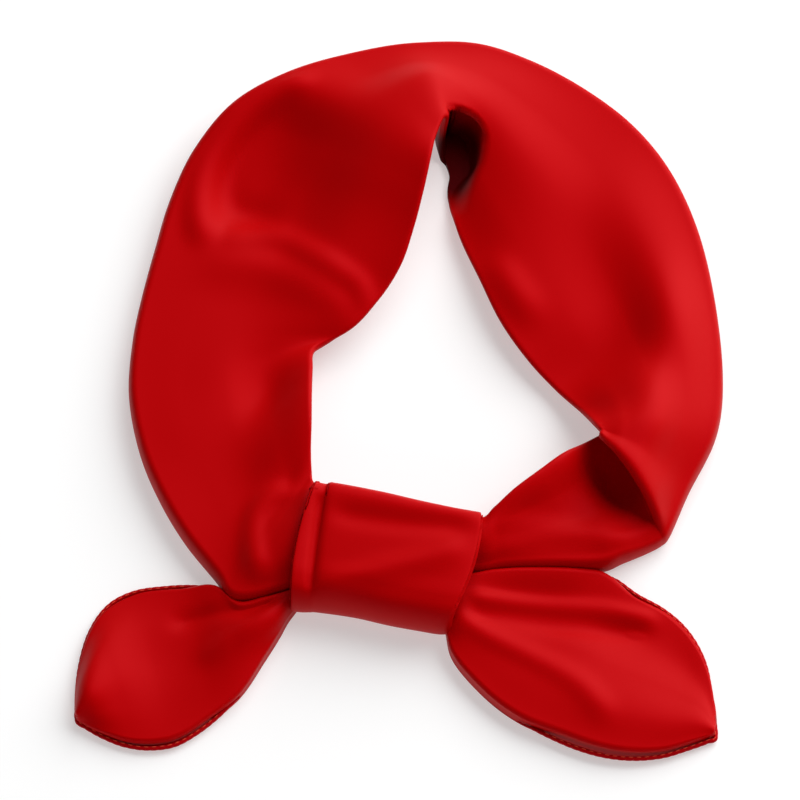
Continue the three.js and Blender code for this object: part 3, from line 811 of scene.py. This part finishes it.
class StageSettings(bpy.types.PropertyGroup):
    elevation: bpy.props.FloatProperty(
        name="Camera elevation", description="Height of the camera above the floor, as an angle",
        default=math.radians(65), min=0.0, max=math.pi / 2, subtype="ANGLE")
    distance: bpy.props.FloatProperty(
        name="Camera distance", description="Distance from the camera to the scarf",
        default=5.0, min=0.5, max=20.0, unit="LENGTH")
    framed: bpy.props.FloatProperty(
        name="Framed width", description="Width of the picture at the scarf",
        default=0.224, min=0.05, max=2.0, unit="LENGTH")
    key_power: bpy.props.FloatProperty(
        name="Key light", description="Power of the large light behind the scarf on the right",
        default=103.0, min=0.0, max=200.0, unit="POWER")
    fill_power: bpy.props.FloatProperty(
        name="Fill light", description="Power of the low light in front",
        default=2.6, min=0.0, max=200.0, unit="POWER")
    world_strength: bpy.props.FloatProperty(
        name="Surroundings", description="Strength of the pale surroundings",
        default=0.12, min=0.0, max=5.0)
    floor_colour: bpy.props.FloatVectorProperty(
        name="Floor colour", description="Colour of the floor",
        default=(0.62, 0.62, 0.62), min=0.0, max=1.0, size=3, subtype="COLOR")
    floor_glow: bpy.props.FloatProperty(
        name="Floor glow", description="Strength of the light that the floor gives off",
        default=0.42, min=0.0, max=5.0)


class SCARF_OT_neck_band(bpy.types.Operator):
    """Makes the folded band that goes round the neck"""
    bl_idname = "scarf.neck_band"
    bl_label = "Neck band"

    def execute(self, context):
        settings = context.scene.scarf
        points = sheet_points(BAND_SECTIONS, BAND_FOLDS, BAND_STEPS,
                              settings.band_wall / MM, BAND_ROLLS, hollow=HOLLOW_PATH)
        # the band's satin gets shade painted into its colour in the hollow
        material = satin("band_satin", settings.satin_colour, settings, painted_shade=True)
        piece = cloth_piece("neck_band_cloth", points, settings.band_wall / MM, material)
        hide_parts("neck_band")
        return {"FINISHED"}


class SCARF_OT_knot_wrap(bpy.types.Operator):
    """Makes the short sleeve of cloth that is wrapped round the knot"""
    bl_idname = "scarf.knot_wrap"
    bl_label = "Knot wrap"

    def execute(self, context):
        settings = context.scene.scarf
        material = satin("wrap_satin", settings.satin_colour, settings)
        wall = settings.wrap_wall / MM
        piece = cloth_piece("knot_wrap_cloth", wrap_points(WRAP_STEPS, wall), wall, material, True)
        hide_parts("knot_wrap")
        return {"FINISHED"}


class SCARF_OT_ends(bpy.types.Operator):
    """Makes the two loose ends with their hems and stitches"""
    bl_idname = "scarf.ends"
    bl_label = "Loose ends"

    def execute(self, context):
        settings = context.scene.scarf
        for side, sections, folds, tip, flat in ENDS:
            self.make_end(settings, side, sections, folds, tip, flat)
        return {"FINISHED"}

    def make_end(self, settings, side, sections, folds, tip, flat):
        material = satin(f"{side}_end_satin", settings.satin_colour, settings)
        points = sheet_points(sections, folds, END_STEPS, settings.end_wall / MM, END_ROLLS,
                              settings.hem_width / MM + HEM_GAP)
        cloth = cloth_piece(f"{side}_end_cloth", points, settings.end_wall / MM, material)
        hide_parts(f"{side}_end")
        rolled = hem_points(sections, tip, settings.hem_width / MM, settings.hem_height / MM,
                            settings.stitch_spacing / MM, HEM_STEPS)
        bm = bmesh.new()
        place_grid(bm, rolled)
        bmesh.ops.remove_doubles(bm, verts=bm.verts[:], dist=MERGE_DISTANCE)
        bmesh.ops.holes_fill(bm, edges=[e for e in bm.edges if e.is_boundary], sides=0)
        hem_satin = satin(f"{side}_hem_satin", settings.hem_colour, settings)
        hem = finished_piece(f"{side}_end_rolled_hem", bm, hem_satin)
        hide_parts(f"{side}_end_hem")
        stitches = finished_piece(f"{side}_end_stitches", stitch_row(sections, tip, settings),
                                  thread(f"{side}_end_thread", settings.stitch_colour, settings))


class SCARF_OT_stage(bpy.types.Operator):
    """Makes the floor, the lights and the camera"""
    bl_idname = "scarf.stage"
    bl_label = "Stage"

    def execute(self, context):
        settings = context.scene.scarf_stage
        self.make_floor(settings)
        for name, place, size, power in (
                ("key_light", KEY_PLACE, KEY_SIZE, settings.key_power),
                ("fill_light", FILL_PLACE, FILL_SIZE, settings.fill_power)):
            self.make_light(name, place, size, power)
        self.make_camera(settings)
        world = bpy.data.worlds.new("pale_surroundings")
        world.use_nodes = True
        background = world.node_tree.nodes["Background"]
        background.inputs["Color"].default_value = WHITE
        background.inputs["Strength"].default_value = settings.world_strength
        context.scene.world = world
        context.scene.view_settings.view_transform = "Standard"
        return {"FINISHED"}

    def make_floor(self, settings):
        bm = bmesh.new()
        bmesh.ops.create_grid(bm, x_segments=1, y_segments=1, size=FLOOR_SIZE)
        mesh = bpy.data.meshes.new("floor")
        bm.to_mesh(mesh)
        bm.free()
        mesh.materials.append(Shader("pale_floor").set(
            Base_Color=(*settings.floor_colour, 1), Roughness=FLOOR_ROUGHNESS,
            Specular_IOR_Level=FLOOR_SPECULAR, Emission_Color=WHITE,
            Emission_Strength=settings.floor_glow))
        floor = bpy.data.objects.new("floor", mesh)
        bpy.context.scene.collection.objects.link(floor)

    def make_light(self, name, place, size, power):
        light = bpy.data.lights.new(name, "AREA")
        light.size = size
        light.energy = power
        lamp = bpy.data.objects.new(name, light)
        lamp.location = place
        lamp.rotation_euler = (-Vector(place)).to_track_quat("-Z", "Y").to_euler()
        lamp.visible_camera = False
        bpy.context.scene.collection.objects.link(lamp)

    def make_camera(self, settings):
        data = bpy.data.cameras.new("camera")
        data.lens = data.sensor_width * settings.distance / settings.framed
        data.clip_end = CAMERA_SIGHT * settings.distance
        camera = bpy.data.objects.new("camera", data)
        back = Vector((0, -math.cos(settings.elevation), math.sin(settings.elevation)))
        camera.location = CAMERA_AIM + back * settings.distance
        camera.rotation_euler = (-back).to_track_quat("-Z", "Y").to_euler()
        bpy.context.scene.collection.objects.link(camera)
        bpy.context.scene.camera = camera


class SCARF_PT_panel(bpy.types.Panel):
    """Lists the scarf's sizes and the steps that make it"""
    bl_idname = "SCARF_PT_panel"
    bl_label = "Knotted satin scarf"
    bl_space_type = "VIEW_3D"
    bl_region_type = "UI"
    bl_category = "Scarf"

    def draw(self, context):
        for settings in (context.scene.scarf, context.scene.scarf_stage):
            for name in settings.bl_rna.properties.keys():
                if name not in ("rna_type", "name"):
                    self.layout.prop(settings, name)
        for operator in OPERATORS:
            self.layout.operator(operator.bl_idname)


OPERATORS = (SCARF_OT_neck_band, SCARF_OT_knot_wrap, SCARF_OT_ends, SCARF_OT_stage)
CLASSES = (ScarfSettings, StageSettings, *OPERATORS, SCARF_PT_panel)


def register():
    for cls in CLASSES:
        bpy.utils.register_class(cls)
    bpy.types.Scene.scarf = bpy.props.PointerProperty(type=ScarfSettings)
    bpy.types.Scene.scarf_stage = bpy.props.PointerProperty(type=StageSettings)


def unregister():
    del bpy.types.Scene.scarf_stage
    del bpy.types.Scene.scarf
    for cls in reversed(CLASSES):
        bpy.utils.unregister_class(cls)


def main():
    register()
    bpy.ops.scarf.neck_band()
    bpy.ops.scarf.knot_wrap()
    bpy.ops.scarf.ends()
    bpy.ops.scarf.stage()


if __name__ == "__main__":
    main()
